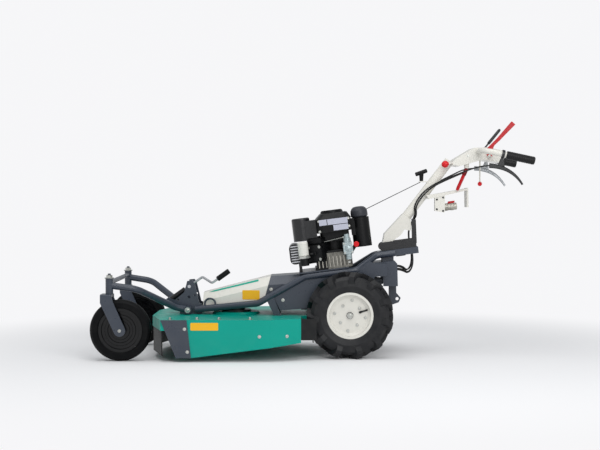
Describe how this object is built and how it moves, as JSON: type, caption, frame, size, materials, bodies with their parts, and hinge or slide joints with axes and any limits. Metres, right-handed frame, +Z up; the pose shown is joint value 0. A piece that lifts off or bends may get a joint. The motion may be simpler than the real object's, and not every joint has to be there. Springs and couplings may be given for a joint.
{
  "type": "walk-behind mulching mower",
  "caption": "Walk-behind mulching mower with lugged drive wheels, swivelling front castors, a wide cutter deck, a swinging handle and a height crank.",
  "frame": {"origin": "on the ground under the middle of the machine's box", "axes": "+X forward towards the castors, +Y to the machine's left, +Z up"},
  "size_m": [2.116, 0.8006, 1.146],
  "materials": {
    "frame_paint": "satin dark slate paint",
    "deck_green": "gloss green paint",
    "flap_rubber": "matt black rubber",
    "black_paint": "satin black paint",
    "cream_paint": "gloss cream paint",
    "stripe_green": "gloss film",
    "cast_metal": "cast grey",
    "cast_alloy": "cast alloy",
    "black_plastic": "matt moulded",
    "grey_panel": "satin grey film",
    "grey_plastic": "matt grey moulded",
    "white_paint": "gloss white",
    "red_plastic": "gloss red moulded",
    "rope_black": "matt black sheath",
    "bright_steel": "bright plated steel",
    "tyre_rubber": "black tyre rubber",
    "dark_steel": "dark steel",
    "grip_rubber": "ribbed black rubber"
  },
  "bodies": {
    "chassis": {"frame_left": "frame_paint", "frame_right": "frame_paint", "front_bracket": "frame_paint", "engine_plate": "frame_paint", "deck_shell": "deck_green", "deck_corner_guards": "frame_paint", "deck_flaps": "flap_rubber", "spindle_housing": "black_paint", "belt_hood": "cream_paint", "hood_stripes": "stripe_green", "rear_belt_cover": "frame_paint", "transmission": "cast_metal", "rear_guard": "frame_paint", "handle_support": "frame_paint", "engine_block": "cast_alloy", "engine_shroud": "black_plastic", "engine_panels": "grey_panel", "air_cleaner": "black_plastic", "air_cleaner_cap": "grey_plastic", "breather_canister": "black_paint", "muffler": "black_paint", "oil_filter": "white_paint", "carburettor": "cast_alloy", "oil_cap": "red_plastic", "starter_rope": "rope_black", "cable_loops": "rope_black"},
    "front_frame": {"arm_left": "frame_paint", "arm_right": "frame_paint", "arm_pivot": "frame_paint", "arm_crossbar": "frame_paint"},
    "jack": {"jack_tube": "black_paint"},
    "height_crank": {"crank_screw": "bright_steel", "crank_grip": "black_plastic"},
    "caster_left": {"caster_fork_left": "frame_paint"},
    "caster_right": {"caster_fork_right": "frame_paint"},
    "caster_wheel_left": {"caster_rim_left": "black_paint", "caster_tyre_left": "tyre_rubber"},
    "caster_wheel_right": {"caster_rim_right": "black_paint", "caster_tyre_right": "tyre_rubber"},
    "rear_wheel_left": {"rear_tyre_left": "tyre_rubber", "rear_rim_left": "cream_paint", "rear_axle_left": "dark_steel"},
    "rear_wheel_right": {"rear_tyre_right": "tyre_rubber", "rear_rim_right": "cream_paint", "rear_axle_right": "dark_steel"},
    "blade": {"blade_rotor": "dark_steel"},
    "handle": {"handle_base": "frame_paint", "handle_column": "cream_paint", "handle_head": "cream_paint", "handlebar_left": "cream_paint", "handlebar_right": "cream_paint", "handle_grips": "grip_rubber", "clutch_levers": "black_paint", "safety_lever": "red_plastic", "drive_lever": "black_plastic", "red_controls": "red_plastic", "control_tray": "cream_paint", "starter_grip": "black_plastic", "handle_cables": "rope_black"}
  },
  "joints": [
    {"name": "height_adjust", "type": "hinge", "parent": "chassis", "child": "front_frame", "pos_m": [0.612, 0, 0.222], "axis": [0, 1, 0], "range_deg": [0, 10]},
    {"name": "jack_pivot", "type": "hinge", "parent": "front_frame", "child": "jack", "pos_m": [0.715, 0, 0.258], "axis": [0, 1, 0], "range_deg": [-20, 20]},
    {"name": "crank_pivot", "type": "hinge", "parent": "chassis", "child": "height_crank", "pos_m": [0.6093, 0, 0.33368], "axis": [0, 1, 0], "range_deg": [-20, 20]},
    {"name": "caster_swivel_left", "type": "hinge", "parent": "front_frame", "child": "caster_left", "pos_m": [0.964, 0.33, 0.35], "axis": [0, 0, 1], "continuous": true},
    {"name": "caster_swivel_right", "type": "hinge", "parent": "front_frame", "child": "caster_right", "pos_m": [0.964, -0.33, 0.35], "axis": [0, 0, 1], "continuous": true},
    {"name": "caster_roll_left", "type": "hinge", "parent": "caster_left", "child": "caster_wheel_left", "pos_m": [0.911, 0.33, 0.145], "axis": [0, 1, 0], "continuous": true},
    {"name": "caster_roll_right", "type": "hinge", "parent": "caster_right", "child": "caster_wheel_right", "pos_m": [0.911, -0.33, 0.145], "axis": [0, 1, 0], "continuous": true},
    {"name": "rear_roll_left", "type": "hinge", "parent": "chassis", "child": "rear_wheel_left", "pos_m": [-0.176, 0.248, 0.208], "axis": [0, 1, 0], "continuous": true},
    {"name": "rear_roll_right", "type": "hinge", "parent": "chassis", "child": "rear_wheel_right", "pos_m": [-0.176, -0.248, 0.208], "axis": [0, 1, 0], "continuous": true},
    {"name": "blade_spin", "type": "hinge", "parent": "chassis", "child": "blade", "pos_m": [0.38, 0, 0.15], "axis": [0, 0, 1], "continuous": true},
    {"name": "handle_swing", "type": "hinge", "parent": "chassis", "child": "handle", "pos_m": [-0.435, 0, 0.519], "axis": [0.1305, 0, 0.9914], "range_deg": [-30, 30], "deforming": ["starter_rope"]}
  ],
  "couplings": [
    {"joint": "jack_pivot", "follows": "height_adjust", "ratio": -0.5152},
    {"joint": "crank_pivot", "follows": "height_adjust", "ratio": 0.4848}
  ]
}
